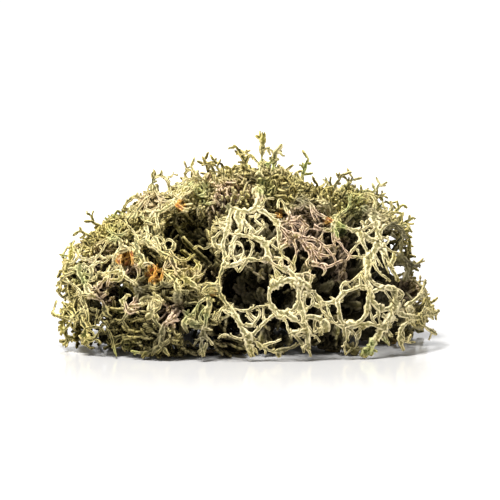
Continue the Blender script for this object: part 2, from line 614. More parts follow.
        (0.8, (19.2, 33.6), (21.8, 31.6), (24.6, 31.0), (27.0, 31.7)),
        (1.2, (19.6, 28.6), (22.4, 28.2), (24.8, 27.8), (26.6, 28.6), (29.2, 29.6)),
        (0.8, (23.0, 28.2), (23.8, 26.6), (22.9, 25.0)),
        (0.8, (19.8, 31.0), (18.4, 29.2), (18.7, 27.4)),
        (1.3, (20.4, 39.7), (22.8, 39.0), (25.4, 38.5)),
        (0.8, (15.0, 38.4), (14.2, 39.6), (13.4, 40.6)),
        (0.8, (24.4, 33.0), (26.4, 30.6), (27.0, 28.8)),
    ),
    "left_foot": (
        (1.6, (-20.0, 15.2), (-21.0, 13.8), (-22.6, 12.6), (-23.8, 11.1), (-24.7, 9.6),
         (-24.9, 7.8), (-25.0, 6.0),
         (-25.3, 4.3), (-26.8, 3.3), (-28.8, 2.3), (-30.4, 1.4), (-31.0, 0.6)),
        (2.4, (-20.8, 13.2), (-22.6, 11.7), (-24.4, 10.4)),
        (1.3, (-27.6, 12.6), (-26.3, 10.8), (-25.0, 9.2)),
        (0.9, (-26.9, 13.6), (-25.8, 11.8)),
        (0.9, (-25.0, 7.4), (-26.2, 6.0), (-27.1, 5.1)),
        (1.2, (-25.2, 4.6), (-24.0, 2.9), (-22.7, 1.2)),
        (0.8, (-25.0, 4.9), (-23.7, 4.7), (-22.8, 5.1)),
        (1.0, (-26.6, 3.4), (-27.4, 2.2), (-28.0, 1.2)),
        (0.9, (-30.0, 1.8), (-31.4, 2.0), (-32.8, 2.1), (-34.4, 2.5)),
        (1.2, (-12.9, 6.6), (-13.2, 4.6), (-12.7, 2.8), (-12.4, 1.0)),
        (0.9, (-11.6, 5.2), (-12.0, 3.6), (-12.5, 2.2)),
        (1.1, (-12.6, 7.4), (-11.0, 6.1), (-9.6, 4.5)),
        (1.1, (-12.9, 6.8), (-14.4, 5.8), (-15.6, 4.1)),
    ),
    "left_web": (
        (1.3, (-30.2, 35.6), (-28.6, 34.4), (-26.8, 33.0), (-25.2, 31.7), (-23.6, 31.0), (-22.2, 30.4)),
        (0.9, (-22.6, 32.6), (-21.8, 31.2), (-20.4, 29.9), (-18.8, 29.6), (-17.4, 29.8),
         (-16.4, 30.8), (-15.0, 31.5)),
        (1.8, (-22.2, 30.4), (-21.4, 28.2), (-20.4, 26.6), (-19.2, 25.3), (-18.0, 24.1), (-16.6, 23.0),
         (-15.2, 22.1), (-13.4, 21.2)),
        (1.5, (-19.6, 25.8), (-18.2, 26.5), (-17.0, 27.3)),
        (0.9, (-17.0, 23.6), (-15.4, 24.3), (-14.5, 25.6), (-13.6, 27.0), (-14.2, 28.6), (-15.4, 29.8)),
        (0.8, (-14.2, 28.0), (-15.4, 27.0), (-16.4, 26.2)),
        (0.8, (-15.0, 24.7), (-13.4, 25.1), (-12.4, 25.8)),
        (1.1, (-23.0, 30.8), (-23.7, 29.0), (-24.4, 27.6), (-24.6, 26.0), (-25.1, 24.3),
         (-24.6, 22.6), (-23.0, 22.0),
         (-21.7, 22.7), (-21.3, 24.2), (-22.4, 25.2), (-21.6, 26.0)),
        (1.9, (-21.4, 23.6), (-20.4, 22.0), (-20.2, 20.6), (-20.4, 19.2), (-20.2, 17.8), (-20.1, 16.4)),
        (0.9, (-20.4, 18.6), (-21.8, 17.4)),
        (0.9, (-20.2, 18.4), (-18.9, 17.2)),
        (1.1, (-20.2, 20.6), (-18.6, 20.4), (-17.2, 20.5), (-17.8, 19.2)),
        (0.9, (-20.2, 21.4), (-18.2, 22.2)),
        (0.9, (-24.6, 22.2), (-26.4, 21.2), (-28.4, 21.6)),
        (1.0, (-24.4, 20.8), (-24.5, 19.2)),
        (1.0, (-24.7, 34.0), (-24.2, 35.4), (-23.0, 35.9), (-21.8, 35.2), (-21.5, 33.8), (-22.4, 32.6),
         (-23.8, 32.6), (-24.7, 34.0)),
        (0.9, (-28.4, 34.8), (-27.5, 36.5), (-26.2, 36.9), (-25.0, 36.0), (-24.6, 34.8)),
        (1.4, (-10.6, 19.2), (-12.4, 18.0), (-14.0, 16.8), (-14.7, 14.9), (-15.8, 13.2), (-17.2, 12.5),
         (-18.3, 11.3), (-18.0, 9.8), (-17.1, 8.0)),
        (0.9, (-16.8, 12.8), (-17.8, 14.0), (-19.0, 14.7)),
        (0.8, (-16.2, 13.1), (-14.8, 13.3)),
        (1.8, (-17.6, 11.9), (-16.0, 10.9), (-14.6, 10.2), (-13.2, 9.5), (-11.6, 9.3)),
        (1.6, (-10.4, 18.4), (-10.8, 16.2), (-11.4, 14.2), (-11.8, 12.4), (-12.0, 10.6),
         (-12.4, 8.8), (-12.9, 6.8)),
        (0.9, (-11.6, 15.4), (-13.2, 14.0), (-13.6, 12.0), (-12.2, 10.6)),
        (0.8, (-14.9, 11.2), (-13.6, 10.8), (-12.4, 11.0)),
    ),
    "amber_frame": (
        (1.2, (-37.5, 34.8), (-38.6, 32.4), (-39.8, 30.2)),
        (1.5, (-38.4, 30.2), (-37.7, 27.8), (-37.2, 25.6), (-37.7, 24.0), (-39.4, 23.6), (-40.8, 23.5)),
        (1.4, (-36.9, 33.2), (-35.0, 33.1), (-33.6, 32.0), (-33.4, 30.0), (-34.2, 28.0)),
        (1.3, (-37.2, 25.6), (-36.2, 24.6), (-35.0, 23.8), (-33.6, 23.2), (-32.4, 21.6)),
        (0.8, (-36.2, 24.8), (-36.0, 26.0), (-35.3, 27.0)),
        (1.7, (-33.2, 35.2), (-32.6, 33.2), (-33.3, 31.4)),
        (1.3, (-32.6, 31.8), (-31.3, 30.8), (-30.8, 29.2), (-31.4, 27.4)),
        (0.9, (-31.0, 28.6), (-32.8, 27.6)),
        (1.1, (-30.9, 27.8), (-29.6, 28.6), (-28.4, 28.8), (-27.3, 28.0), (-26.8, 26.6), (-27.3, 25.0),
         (-28.6, 23.9), (-28.6, 22.2), (-28.2, 20.8)),
        (1.6, (-32.2, 21.4), (-32.6, 19.0), (-33.4, 17.4), (-34.6, 15.8)),
        (0.9, (-32.2, 21.2), (-30.4, 20.5), (-28.2, 20.8)),
        (1.9, (-31.5, 17.0), (-30.4, 18.1), (-29.2, 18.6), (-28.5, 17.4), (-28.4, 15.8), (-27.9, 14.4),
         (-28.8, 13.1), (-29.8, 12.0)),
        (1.1, (-27.9, 14.4), (-26.4, 15.0), (-25.5, 16.0), (-25.2, 17.4), (-25.8, 18.8), (-26.8, 19.2)),
        (1.2, (-31.3, 17.4), (-30.5, 15.9)),
        (1.2, (-36.2, 17.2), (-35.5, 15.2), (-34.4, 14.3), (-33.0, 14.4), (-31.9, 13.9)),
        (0.9, (-35.0, 14.4), (-36.8, 12.0), (-38.4, 10.6)),
        (1.0, (-36.6, 17.6), (-35.6, 19.2), (-34.4, 19.0)),
        (0.9, (-37.2, 18.0), (-36.6, 16.0), (-35.4, 13.6)),
    ),
    "left_arc": (
        (1.1, (-52.0, 32.6), (-51.1, 31.0), (-50.0, 30.2), (-48.4, 29.8), (-46.8, 30.1),
         (-45.2, 30.6), (-44.0, 32.0),
         (-43.1, 33.6), (-42.2, 35.2), (-41.2, 36.3), (-39.6, 36.8), (-37.5, 34.8)),
        (0.8, (-51.1, 31.0), (-50.6, 33.0), (-49.6, 34.6)),
        (1.0, (-49.6, 28.3), (-48.2, 27.4), (-47.0, 27.1), (-46.0, 28.2), (-44.8, 29.0), (-43.4, 28.6),
         (-42.0, 29.5), (-40.9, 30.6)),
        (0.9, (-47.0, 27.1), (-47.2, 25.2), (-46.5, 23.3)),
        (0.9, (-45.6, 23.8), (-45.0, 25.3), (-43.5, 25.9), (-42.1, 25.1), (-41.2, 23.8), (-41.7, 21.8)),
        (0.9, (-45.3, 22.4), (-44.6, 21.2), (-44.1, 19.8)),
        (1.2, (-41.2, 23.8), (-40.6, 26.2), (-39.2, 26.9), (-37.7, 25.8)),
        (2.2, (-51.0, 28.0), (-50.4, 25.6), (-49.3, 23.7), (-48.4, 21.8), (-47.6, 20.0), (-46.2, 18.7)),
        (1.3, (-46.2, 18.7), (-44.6, 18.2), (-43.1, 17.4), (-42.6, 15.6), (-41.8, 13.6), (-40.2, 12.6)),
        (1.0, (-55.2, 23.6), (-53.2, 22.4), (-51.6, 21.6), (-50.3, 20.2), (-49.4, 18.6),
         (-48.7, 16.8), (-48.3, 15.0)),
        (0.9, (-54.2, 28.3), (-52.6, 29.0), (-51.1, 31.0)),
        (0.9, (-54.3, 26.6), (-52.4, 27.2), (-51.0, 28.0)),
        (1.0, (-55.5, 24.9), (-53.8, 25.4), (-52.0, 26.2)),
        (1.5, (-54.0, 35.0), (-53.6, 33.0), (-53.5, 31.0), (-53.9, 29.0), (-54.7, 27.0), (-55.7, 24.8)),
        (0.8, (-53.7, 32.4), (-55.0, 33.4)),
        (0.8, (-53.5, 31.0), (-56.0, 31.0), (-58.0, 31.3)),
        (0.8, (-54.0, 28.8), (-56.4, 29.3)),
        (0.8, (-54.6, 27.0), (-56.5, 27.2)),
        (0.9, (-55.6, 24.6), (-57.0, 23.2), (-56.8, 20.4)),
        (0.9, (-49.4, 18.6), (-50.4, 17.6), (-50.8, 16.8)),
    ),
    "left_sprig": (
        (1.3, (-48.3, 15.0), (-49.6, 13.4), (-51.0, 12.2), (-52.4, 11.8), (-54.0, 12.0), (-56.0, 12.4),
         (-58.2, 12.6), (-60.0, 13.4)),
        (1.0, (-52.2, 11.9), (-53.6, 13.7), (-55.0, 15.4), (-56.1, 16.9)),
        (0.8, (-54.2, 14.5), (-53.3, 15.9)),
        (1.0, (-52.2, 11.8), (-53.4, 10.4), (-54.4, 9.1), (-55.9, 8.1)),
        (0.8, (-51.8, 11.9), (-51.8, 10.0), (-52.1, 8.7)),
        (1.7, (-50.4, 12.8), (-49.2, 10.6), (-48.2, 9.0), (-48.6, 7.0), (-47.9, 5.4), (-48.9, 4.0)),
        (1.2, (-48.2, 9.0), (-46.4, 9.5), (-44.8, 9.6), (-43.2, 9.0), (-42.4, 7.6)),
        (1.1, (-48.4, 6.6), (-46.7, 5.4), (-45.3, 6.1), (-44.4, 7.6), (-43.4, 9.0)),
        (0.8, (-48.3, 15.0), (-47.8, 13.0), (-47.5, 11.0), (-46.6, 9.6)),
        (0.8, (-46.9, 15.2), (-46.0, 14.6), (-44.8, 15.0)),
        (0.8, (-44.4, 14.8), (-44.9, 12.8), (-45.4, 11.0), (-45.0, 9.6)),
        (0.9, (-42.4, 14.6), (-43.6, 12.4), (-44.6, 10.6)),
        (1.1, (-43.0, 10.9), (-41.7, 10.1), (-41.0, 8.4), (-40.2, 6.6), (-39.8, 4.6),
         (-39.2, 2.4), (-38.7, 0.8)),
        (0.8, (-41.9, 11.6), (-41.4, 10.2)),
    ),
    "hollow_rim": (
        (1.4, (-29.8, 43.6), (-28.4, 44.2), (-27.0, 43.8), (-25.6, 44.4), (-24.2, 45.2), (-22.9, 46.1),
         (-21.7, 47.2), (-20.8, 48.6), (-19.6, 50.0), (-18.2, 51.4), (-17.0, 52.8), (-15.8, 54.2)),
        (1.7, (-21.7, 47.2), (-20.4, 45.9), (-19.0, 45.2), (-17.2, 44.8)),
        (1.0, (-19.8, 49.8), (-18.0, 49.9), (-16.4, 51.0), (-15.0, 52.4)),
        (0.8, (-21.6, 47.4), (-21.0, 49.4), (-20.6, 51.6), (-20.9, 53.4)),
        (1.2, (-26.8, 43.8), (-27.0, 42.2), (-26.6, 40.6), (-26.2, 39.0)),
        (1.1, (-25.9, 45.0), (-26.4, 48.0), (-27.2, 50.0), (-28.0, 51.6), (-28.8, 53.2), (-28.3, 54.8),
         (-27.0, 55.6), (-25.4, 55.3), (-24.2, 54.5), (-23.7, 52.6), (-23.2, 50.8), (-22.4, 49.0)),
        (0.8, (-28.7, 53.2), (-29.8, 52.5), (-30.4, 50.6), (-30.7, 48.4)),
        (0.9, (-28.3, 54.8), (-28.9, 55.9), (-27.9, 57.2)),
        (0.8, (-26.4, 55.5), (-25.8, 57.3)),
        (0.8, (-24.6, 55.0), (-22.8, 55.4), (-22.1, 56.8)),
        (1.4, (-34.3, 42.4), (-33.2, 44.4), (-32.1, 46.2), (-31.0, 47.8), (-29.6, 49.0), (-28.0, 49.8)),
        (1.0, (-36.2, 41.8), (-34.8, 44.0), (-33.4, 46.0), (-32.0, 48.2)),
        (0.8, (-32.0, 48.2), (-33.2, 49.2), (-34.4, 49.3), (-35.5, 48.7)),
        (0.8, (-33.8, 49.2), (-33.3, 50.5)),
        (0.8, (-36.6, 42.0), (-36.7, 43.8), (-36.4, 45.2), (-37.7, 45.5)),
        (1.0, (-31.7, 42.8), (-31.0, 44.6), (-30.3, 46.4), (-29.7, 48.4)),
        (1.0, (-37.2, 41.6), (-35.8, 40.0), (-34.4, 38.8), (-33.5, 37.4), (-33.0, 35.4)),
        (0.8, (-38.9, 41.5), (-38.2, 39.8), (-36.4, 40.2)),
        (1.1, (-42.8, 40.8), (-42.4, 39.1), (-41.0, 38.0), (-39.4, 37.4), (-37.8, 37.4),
         (-36.2, 38.4), (-34.8, 38.8)),
        (0.9, (-31.6, 42.6), (-30.4, 41.2), (-29.0, 40.8), (-27.4, 40.4)),
        (1.1, (-30.2, 39.8), (-29.4, 37.6), (-29.6, 35.6), (-30.2, 34.2)),
    ),
    "base_web": (
        (1.1, (4.4, 4.0), (8.4, 2.6), (12.6, 3.4), (15.8, 4.8)),
        (1.0, (9.4, 2.7), (10.2, 0.8)),
    ),
    "apex_sprig": (
        (1.4, (4.2, 55.4), (4.5, 57.4), (4.9, 60.0), (5.0, 62.6), (5.1, 65.2), (5.3, 67.4), (5.7, 69.0)),
        (0.9, (5.2, 66.2), (4.2, 67.0), (3.0, 68.0)),
        (1.1, (4.6, 58.2), (2.6, 61.0), (1.2, 62.0), (0.2, 60.6), (-0.2, 59.0)),
        (1.1, (0.0, 60.2), (-1.0, 61.4), (-1.8, 63.0), (-3.0, 64.4), (-3.9, 65.0)),
        (0.8, (-1.6, 62.6), (-3.0, 62.0)),
        (0.8, (5.0, 63.6), (6.6, 64.0), (8.0, 63.2), (8.8, 62.2)),
        (1.2, (8.2, 57.0), (8.6, 59.4), (8.8, 61.6), (9.6, 63.2), (10.6, 64.6), (11.0, 65.4)),
        (0.8, (8.7, 60.6), (7.0, 61.0)),
        (0.8, (8.8, 61.0), (10.4, 60.6)),
        (0.9, (9.4, 62.8), (10.8, 63.2)),
    ),
    "right_sprig": (
        (1.3, (47.0, 9.4), (49.4, 11.2), (52.4, 12.4), (55.4, 13.4), (58.0, 13.2), (60.0, 14.0)),
        (1.1, (52.4, 12.4), (54.0, 10.0), (56.0, 8.4), (58.6, 6.8)),
        (1.0, (52.8, 12.6), (54.4, 14.8), (55.6, 17.4)),
        (0.9, (56.0, 13.2), (57.6, 11.4)),
        (0.8, (57.0, 13.2), (57.8, 15.0)),
        (1.4, (47.0, 9.4), (46.4, 7.0), (46.8, 4.6), (47.6, 2.4)),
        (1.0, (46.6, 6.0), (48.6, 5.0), (51.4, 4.8)),
        (1.2, (48.2, 15.4), (50.6, 17.2), (52.8, 18.8), (54.4, 21.2), (55.4, 23.4)),
        (0.9, (52.8, 18.8), (54.8, 18.4), (56.8, 18.0)),
    ),
}


# %% From routes to sections
def height_above_floor(seen, depth):
    """The height of a point at this depth which the camera sees at the height `seen`."""
    return (seen - (FRONT_FOOT_DEPTH + depth) * math.sin(SIGHT_TILT)) / math.cos(SIGHT_TILT)


STANDS_UP = 0.975           # above this share of the crest's height, straps stand straight up
LACE_PLACE = 0.965          # the lace lies at this share of the heap's depth, give or take LACE_RELIEF
LACE_RELIEF = 0.035
LACE_LOWEST = 0.5           # millimetres above the floor
SETTLING_ROUNDS = 12        # height and depth depend on each other, and settle in a few rounds


def on_front(across, up):
    """The place on the clump's front that is seen at this place across and up, a little in or out."""
    out = LACE_PLACE + LACE_RELIEF * noise.noise(Vector((across, up, 5.0)) * 0.13)
    z, depth = up, 0.0
    for _ in range(SETTLING_ROUNDS):
        share = min(max(z, 0.0) / crest(across), STANDS_UP)
        depth = -half_depth(across) * out * (1 - share ** ROUNDNESS) ** (1 / ROUNDNESS)
        z = height_above_floor(up, depth)
    return Vector((across, MIDDLE_PLANE + depth, max(z, LACE_LOWEST)))


def curve_through(points):
    """Points one step apart on a smooth curve through the given points."""
    ends = [points[0] * 2 - points[1]] + points + [points[-1] * 2 - points[-2]]
    fine = []
    for before, a, b, after in zip(ends, ends[1:], ends[2:], ends[3:]):
        cuts = max(1, round((b - a).length / SECTION_STEP))
        for cut in range(cuts):
            t = cut / cuts
            fine.append(0.5 * (
                2 * a + (b - before) * t + (2 * before - 5 * a + 4 * b - after) * t ** 2
                + (3 * a - before - 3 * b + after) * t ** 3
            ))
    return fine + [points[-1]]


def search_tree(points):
    """A tree that finds the nearest of some points quickly."""
    tree = KDTree(len(points))
    for number, point in enumerate(points):
        tree.insert(point, number)
    tree.balance()
    return tree


meeting_tree = search_tree([on_front(*places[0]) for routes in LACE.values() for _, *places in routes])


WEB = 0.75                  # a strap is broader by this share where straps meet
WEB_REACH = 1.7             # millimetres
TYPICAL_WIDTH = 0.70        # of the routes' own widths, which are the broadest places
SLOW_WIDTH, QUICK_WIDTH = 0.42, 0.28    # how far the width swings, in long and in short waves


def webbing(at):
    """A strap's width here as a share of its route's width: broad in the webs, uneven elsewhere."""
    _, _, distance = meeting_tree.find(at)
    web = 1.0 + WEB * math.exp(-(distance / WEB_REACH) ** 2)
    return web * (TYPICAL_WIDTH + SLOW_WIDTH * noise.noise(at * 0.4) + QUICK_WIDTH * noise.noise(at * 1.1))


TO_THE_FRONT = Vector((0.0, -1.0, 0.15))


def lace_chain(width, path):
    """A chain of sections along a path, its flat side forward."""
    root = section = None
    for number, at in enumerate(path):
        ahead = path[min(number + 1, len(path) - 1)] - path[max(number - 1, 0)]
        heading = ahead.normalized()
        facing = outward(at) * 0.5 + TO_THE_FRONT
        facing = (facing - heading * facing.dot(heading)).normalized()
        fresh = Section(at, width * webbing(at), facing, heading)
        if section is None:
            root = fresh
        else:
            section.kids.append(fresh)
        section = fresh
    return root


for name, routes in LACE.items():
    paths = [(width, curve_through([on_front(*place) for place in places])) for width, *places in routes]
    trees[name] = [lace_chain(width, path) for width, path in paths]
print("sections with the lace:", section_count())

# %% [markdown]
# ## Growing the forks
#
# Every strap end and many places along the limbs carry growing tips. All tips take one short step in
# turn. A tip tries a few headings and takes the one with the most room, so the forks spread evenly and
# do not run through each other. Every few steps it forks in two, and each fork is thinner. Rules like
# these copy how the real thallus grows, and a fixed seed makes the same clump each time. Neighbouring
# straps of the lace are first joined by short bridges, as where real straps have grown together.

# %% Room to grow
CELLS = (140, 112, 84)              # on each axis; a cell is 1 mm
CELL_SHIFT = (70, 56, 4)            # cells before the origin on each axis
crowd = np.zeros(CELLS, dtype=np.int16)


def cell_of(point):
    """The grid cell that a point lies in."""
    return tuple(int(value + shift) for value, shift in zip(point, CELL_SHIFT))


def take_room(point):
    """Marks the cells round a section as taken."""
    x, y, z = cell_of(point)
    crowd[x - 1:x + 2, y - 1:y + 2, z - 1:z + 2] += 1


for roots in trees.values():
    for root in roots:
        for section in all_sections(root):
            take_room(section.at)
print("cells taken by the limbs:", int((crowd > 0).sum()))

# %% How each kind of tip grows
chance = random.Random(5)
MOST_SECTIONS = 66000
LOOK_AHEAD = 1.9            # millimetres before a tip where it looks for room
CROWDED_INSIDE = 2          # more sections than this round a place stop a tip deep in the heap
CROWDED_OUTSIDE = 7         # and this near its surface
CROWDED_LOW = 5             # and this below LOW millimetres, where the heap is matted
LOW = 13.0
FORK_WEB = 1.4              # a strap is this many times as broad where it forks
OUTER = 0.80                # beyond this fullness the forks come fast, as in the antlers at the ends


class Habit:
    """How one kind of tip grows: life and forks in steps, angle in degrees, narrowest in millimetres."""

    def __init__(self, life, forks, angle, thinning, narrowest, wander, nubs, reach):
        self.life = life
        self.forks = forks
        self.angle = angle
        self.thinning = thinning
        self.narrowest = narrowest
        self.wander = wander
        self.nubs = nubs
        self.reach = reach


HABITS = {
    "bough": Habit(life=26, forks=(2, 4), angle=(36, 60), thinning=0.97, narrowest=1.10, wander=0.42,
                   nubs=0.35, reach=1.03),
    "inner": Habit(life=12, forks=(4, 7), angle=(20, 36), thinning=0.99, narrowest=2.4, wander=0.24,
                   nubs=0.0, reach=0.90),
    "sprig": Habit(life=5, forks=(1, 2), angle=(28, 50), thinning=0.93, narrowest=0.72, wander=0.24,
                   nubs=0.30, reach=1.40),
}


class Tip:
    """A growing tip: the section it stands on, how it grows, and how long it has to live."""

    __slots__ = ("section", "habit", "life", "until_fork")

    def __init__(self, section, habit, life, until_fork):
        self.section = section
        self.habit = habit
        self.life = life
        self.until_fork = until_fork


def any_direction():
    """A direction drawn evenly from all sides."""
    return Vector((chance.gauss(0, 1), chance.gauss(0, 1), chance.gauss(0, 1))).normalized()


# The rooms behind the lace's round holes, kept free of tips: across, height, radius.
NET_ROOMS = (
    (-1.0, 22.0, 11.0), (11.0, 18.0, 9.0), (25.0, 15.0, 11.0), (36.0, 20.0, 12.0), (0.0, 8.0, 8.0),
    (15.0, 6.0, 9.0), (30.0, 6.0, 9.0), (-2.0, 34.0, 7.0), (12.0, 31.0, 8.0), (26.0, 24.0, 9.0),
    (36.0, 32.0, 8.0), (22.0, 39.0, 6.0), (8.0, 44.0, 5.0), (-17.0, 12.0, 4.0), (-34.0, 27.0, 3.0),
)
ROOM_REACH = 0.84           # behind the lace, foliage grows only up to this fullness
LOWEST_SECTION = 0.7        # millimetres above the floor


def behind_net(point):
    """Whether a point lies in the rooms behind the lace."""
    if point.y > 0:
        return False
    up = seen_height(point)
    return any(
        (point.x - across) ** 2 + (up - height) ** 2 < radius ** 2 for across, height, radius in NET_ROOMS
    )


def open_to(point, tip_reach):
    """Whether a strap may grow at a point."""
    fill = fullness(point)
    if point.z < LOWEST_SECTION or fill > tip_reach or in_hollow(point):
        return False
    return fill < ROOM_REACH or not behind_net(point)


HEADINGS_TRIED = 5
SHALLOW = 0.86              # beyond this fullness the pull outwards is weaker
PULL_OUT, PULL_OUT_SHALLOW = 0.28, 0.08
PULL_UP = 0.05
LIKES_STRAIGHT = 1.2        # what a straight course counts in the choice of a heading
SHUNS_CROWDS = 0.45         # and what each section near the place ahead counts against it


def best_heading(section, habit, tip_reach):
    """The heading with the most room, or None where there is none left."""
    away = outward(section.at)
    fill = fullness(section.at)
    near_surface = max(0.0, min(1.0, (closeness(section.at) - 0.55) / 0.25))
    crowded = CROWDED_INSIDE + (CROWDED_OUTSIDE - CROWDED_INSIDE) * near_surface
    if section.at.z < LOW:
        crowded = max(crowded, CROWDED_LOW)
    best, best_score = None, -1e9
    for _ in range(HEADINGS_TRIED):
        heading = section.heading + any_direction() * habit.wander
        heading += away * (PULL_OUT if fill < SHALLOW else PULL_OUT_SHALLOW)
        heading.z += PULL_UP
        heading.normalize()
        ahead = section.at + heading * LOOK_AHEAD
        if not open_to(ahead, tip_reach):
            continue
        taken = int(crowd[cell_of(ahead)])
        if taken > crowded:
            continue
        score = heading.dot(section.heading) * LIKES_STRAIGHT - taken * SHUNS_CROWDS
        score -= section.heading.dot(section.facing) ** 2
        if score > best_score:
            best, best_score = heading, score
    return best


def pause_at(point, habit):
    """How many steps a tip takes to its next fork."""
    if fullness(point) > OUTER:
        return chance.randint(1, 3)
    return chance.randint(*habit.forks)


def next_section(section, heading, width):
    """A section one step further on, its flat side turned a little."""
    facing = section.facing - heading * section.facing.dot(heading)
    facing = (facing + any_direction() * 0.10).normalized()
    grown = Section(section.at + heading * SECTION_STEP, width, facing, heading)
    section.kids.append(grown)
    take_room(grown.at)
    return grown


def turned(heading, facing, degrees):
    """The heading turned in the plane of the strap."""
    swung = heading.copy()
    swung.rotate(Matrix.Rotation(math.radians(degrees), 3, facing))
    return swung


TUFT_DEPTH = 0.13           # how far the hollows between tufts reach in, as a share of the heap
LAST_STRETCH = 0.90         # beyond this fullness a tip has at most LAST_STEPS to live
LAST_STEPS = 6
FORK_WIDTH = 0.86           # each fork's width as a share of the strap's


def grow(tips):
    """Lets all tips take their steps in turn until each has stopped; returns the number of steps."""
    count = 0
    while tips and count < MOST_SECTIONS:
        growing = []
        for tip in tips:
            habit = tip.habit
            section = tip.section
            tuft = 0.5 + noise.noise(section.at * 0.11) + 0.3 * noise.noise(section.at * 0.3)
            tip_reach = habit.reach - TUFT_DEPTH * max(0.0, min(1.0, tuft))
            heading = best_heading(section, habit, tip_reach)
            if heading is None or tip.life <= 0:
                continue
            width = max(section.width * habit.thinning, habit.narrowest)
            if habit.reach > 1.0 and fullness(section.at) > LAST_STRETCH:
                tip.life = min(tip.life, LAST_STEPS)
            grown = next_section(section, heading, width)
            count += 1
            tip.section = grown
            tip.life -= 1
            tip.until_fork -= 1
            if tip.until_fork <= 0 and tip.life > 1:
                angle = chance.uniform(*habit.angle)
                grown.width = width * FORK_WEB
                fork_width = max(width * FORK_WIDTH, habit.narrowest)
                for side in (-1, 1):
                    start = next_section(grown, turned(heading, grown.facing, side * angle), fork_width)
                    count += 1
                    pause = pause_at(start.at, habit)
                    growing.append(Tip(start, habit, tip.life - chance.randint(0, 3), pause))
            else:
                if chance.random() < habit.nubs and tip.until_fork > 1:
                    side = chance.choice((-1, 1))
                    nub_heading = turned(heading, grown.facing, side * chance.uniform(45, 75))
                    next_section(grown, nub_heading, habit.narrowest)
                    count += 1
                growing.append(tip)
        tips = growing
    return count


# %% Where the new straps start
def facing_out(root):
    """Turns the flat side of every section of a limb to the outside, with no sudden flips."""
    first_side = root.facing if root.facing.dot(outward(root.at)) > 0 else -root.facing
    root.facing = first_side
    for section in all_sections(root):
        for kid in section.kids:
            kid.heading = (kid.at - section.at).normalized()
            side = kid.facing - kid.heading * kid.facing.dot(kid.heading)
            side = side if side.dot(section.facing) > 0 else -side
            kid.facing = (side.normalized() + section.facing * 0.6).normalized()
            kid.facing = (kid.facing - kid.heading * kid.facing.dot(kid.heading)).normalized()


def habit_of(root):
    """Which habit the new straps of a bough have."""
    farthest = max(fullness(section.at) for section in all_sections(root))
    return "inner" if farthest < OUTER else "bough"


LEAFY_WIDTHS = (2.8, 4.2)       # narrowest and widest, in millimetres
BOUGH_WIDTHS = (1.2, 2.0)
LOBED_INSIDE = 0.7              # up to this fullness boughs swell and shrink into lobes
LOBE_SWING = 0.5


def even_widths(root):
    """Keeps a bough's widths in bounds, and broadens those that end inside into leafy lobes."""
    leafy = habit_of(root) == "inner"
    narrowest, widest = LEAFY_WIDTHS if leafy else BOUGH_WIDTHS
    for section in all_sections(root):
        section.width = max(narrowest, min(section.width, widest))
        if leafy or fullness(section.at) < LOBED_INSIDE:
            section.width *= 1.0 + LOBE_SWING * noise.noise(section.at * 0.25)
            facing = Vector((noise.noise(section.at * 0.1), -1.0, 0.4))
            section.facing = (facing - section.heading * facing.dot(section.heading)).normalized()


SPROUT_EVERY = {"bough": 2, "inner": 3}     # sections between two sprouts
BARE_INSIDE = 0.5               # up to this closeness boughs carry only a few leafy lobes
BARE_HEART = 12                 # millimetres round the origin with no lobes at all
SPROUT_WIDEST = 1.7


def sprouts(root):
    """The growing tips that a bough starts with, along its sides and at its ends."""
    kind = habit_of(root)
    habit = HABITS[kind]
    tips = []
    every = SPROUT_EVERY[kind]
    count = chance.randint(0, every)
    for section in all_sections(root):
        if not section.kids:
            tips.append(Tip(section, habit, habit.life, chance.randint(1, 3)))
            continue
        count += 1
        if count % every or len(section.kids) > 1:
            continue
        if kind == "bough" and closeness(section.at) < BARE_INSIDE:
            if count % 3 == 0 and section.at.length > BARE_HEART:
                lobe_heading = turned(section.kids[0].heading, section.facing, chance.choice((-60, 60)))
                lobe = next_section(section, lobe_heading, HABITS["inner"].narrowest)
                tips.append(Tip(lobe, HABITS["inner"], chance.randint(5, 10), chance.randint(3, 5)))
            continue
        side = 1 if (count // every) % 2 else -1
        along = section.kids[0].heading
        about = turned(section.facing, along, chance.uniform(-80, 80))
        heading = turned(along, about, side * chance.uniform(45, 70))
        width = max(min(section.width * 0.75, SPROUT_WIDEST), habit.narrowest)
        ahead = section.at + heading * LOOK_AHEAD
        if open_to(ahead, 1.0):
            start = next_section(section, heading, width)
            tips.append(Tip(start, habit, habit.life - chance.randint(0, 6), chance.randint(2, 4)))
    return tips


LACE_ENDS = 34.0                # beyond this place across, foliage also grows in behind the lace,
LEAFY_SHARE = 0.55              # in the place of this share of the nubs
NUB_WIDTH = 0.8
BRIDGE_SPAN = (2.4, 5.4)        # the shortest and longest bridge in millimetres
BRIDGE_GAP = 0.9                # a bridge's middle stays this far from every strap
BRIDGE_BEND = 0.7               # and lies this far off the straight line
BRIDGE_WIDTH = (0.75, 1.5)
SECTIONS_A_BRIDGE = 7           # one bridge is tried for so many sections of the net


def bridges(roots):
    """Fine straps between neighbouring places of a net, which close its small holes."""
    spots = [section.at for root in roots for section in all_sections(root)]
    spot_tree = search_tree(spots)
    chains = []
    for _ in range(len(spots) // SECTIONS_A_BRIDGE):
        start = chance.choice(spots)
        reached = [spot for spot, _, distance in spot_tree.find_range(start, BRIDGE_SPAN[1])
                   if distance > BRIDGE_SPAN[0]]
        end = chance.choice(reached or [start])
        middle = (start + end) / 2 + any_direction() * BRIDGE_BEND
        _, _, gap = spot_tree.find(middle)
        if end is start or gap < BRIDGE_GAP or in_hollow(middle):
            continue
        chains.append(lace_chain(chance.uniform(*BRIDGE_WIDTH), curve_through([start, middle, end])))
    return chains


